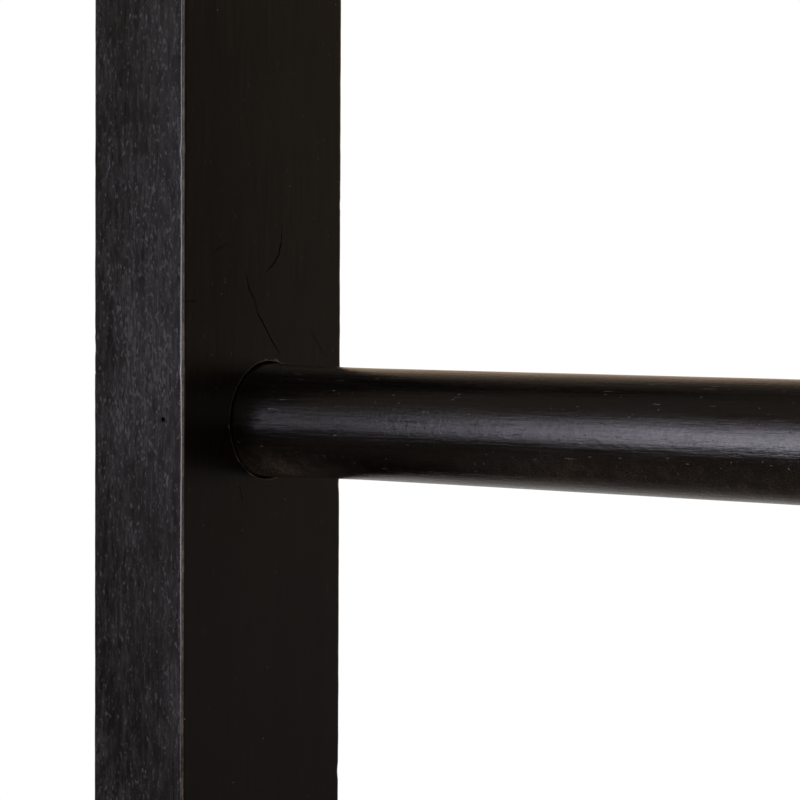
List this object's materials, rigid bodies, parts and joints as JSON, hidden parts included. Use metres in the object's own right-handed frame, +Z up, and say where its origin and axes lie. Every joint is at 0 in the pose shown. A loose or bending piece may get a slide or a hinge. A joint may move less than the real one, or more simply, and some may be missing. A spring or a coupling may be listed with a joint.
{
  "type": "quilt rack",
  "caption": "Free-standing quilt rack: plain rectangular uprights on arched runner feet carry round cross bars in black-stained wood, with bolts hidden under flush plugs.",
  "frame": {"origin": "on the floor under the middle of the rack", "axes": "+X to the right along the bars, front faces -Y, +Z up; the bars' axes lie 2 mm behind the middle of the uprights, at y = +2 mm"},
  "size_m": [0.813, 0.356, 0.914],
  "materials": {
    "black_wood": "black stain under a satin lacquer, grain and pores showing, arrises worn to grey-tan",
    "pin_wood": "unfinished fluted beech pin, sealed inside the joint",
    "brass": "machined, threaded",
    "zinc_steel": "bright zinc plate",
    "nylon": "moulded nylon, satin, lightly scuffed"
  },
  "bodies": {
    "root": {"left_upright": "black_wood", "left_foot": "black_wood", "left_foot_pin": "pin_wood", "left_front_foot_bolt": "zinc_steel", "left_front_washer": "zinc_steel", "left_front_barrel_nut": "zinc_steel", "left_front_glide": "nylon", "left_back_foot_bolt": "zinc_steel", "left_back_washer": "zinc_steel", "left_back_barrel_nut": "zinc_steel", "left_back_glide": "nylon", "right_upright": "black_wood", "right_foot": "black_wood", "right_foot_pin": "pin_wood", "right_front_foot_bolt": "zinc_steel", "right_front_washer": "zinc_steel", "right_front_barrel_nut": "zinc_steel", "right_front_glide": "nylon", "right_back_foot_bolt": "zinc_steel", "right_back_washer": "zinc_steel", "right_back_barrel_nut": "zinc_steel", "right_back_glide": "nylon", "top_bar": "black_wood", "top_bar_left_insert": "brass", "top_bar_left_bolt": "zinc_steel", "top_bar_left_plug": "black_wood", "top_bar_right_insert": "brass", "top_bar_right_bolt": "zinc_steel", "top_bar_right_plug": "black_wood", "upper_bar": "black_wood", "upper_bar_left_insert": "brass", "upper_bar_left_bolt": "zinc_steel", "upper_bar_left_plug": "black_wood", "upper_bar_right_insert": "brass", "upper_bar_right_bolt": "zinc_steel", "upper_bar_right_plug": "black_wood", "lower_bar": "black_wood", "lower_bar_left_insert": "brass", "lower_bar_left_bolt": "zinc_steel", "lower_bar_left_plug": "black_wood", "lower_bar_right_insert": "brass", "lower_bar_right_bolt": "zinc_steel", "lower_bar_right_plug": "black_wood", "bottom_bar": "black_wood", "bottom_bar_left_insert": "brass", "bottom_bar_left_bolt": "zinc_steel", "bottom_bar_left_plug": "black_wood", "bottom_bar_right_insert": "brass", "bottom_bar_right_bolt": "zinc_steel", "bottom_bar_right_plug": "black_wood"}
  },
  "joints": []
}
